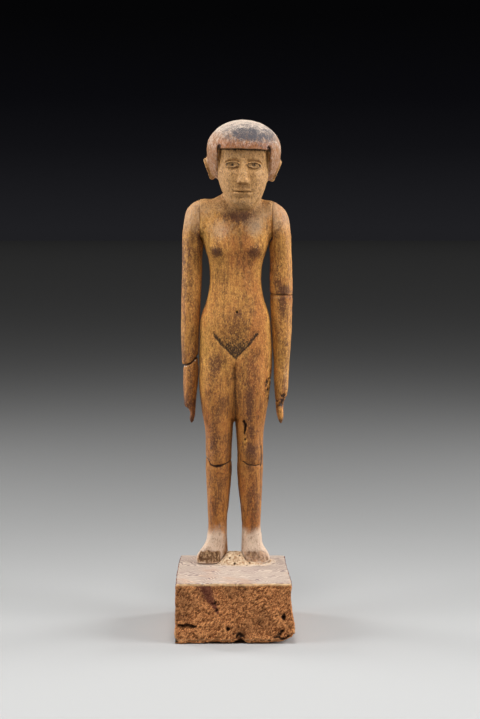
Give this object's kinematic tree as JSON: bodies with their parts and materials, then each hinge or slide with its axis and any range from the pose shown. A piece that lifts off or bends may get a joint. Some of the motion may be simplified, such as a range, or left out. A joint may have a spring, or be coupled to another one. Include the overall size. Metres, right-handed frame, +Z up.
{
  "type": "wooden statuette",
  "caption": "Carved wooden figure of a standing woman with arms held straight at the sides, on a rough rectangular block base.",
  "frame": {"origin": "centre of the base's underside, level with what the statuette stands on", "axes": "+Z up through the figure, -Y the way the figure faces, +X towards the figure's left"},
  "size_m": [0.0697, 0.0843, 0.3033],
  "materials": {
    "carved_wood": "aged carved wood with worn paint, dark hair paint and pale ground left on shins and feet, matt",
    "block_wood": "rough unpainted end grain on the front, weathered grey-pink top, matt",
    "plaster": "cream gypsum plaster, rough and matt"
  },
  "bodies": {
    "root": {"base": "block_wood", "figure": "carved_wood", "right_arm": "carved_wood", "left_upper_arm": "carved_wood", "left_forearm": "carved_wood", "foot_plaster": "plaster"}
  },
  "joints": []
}
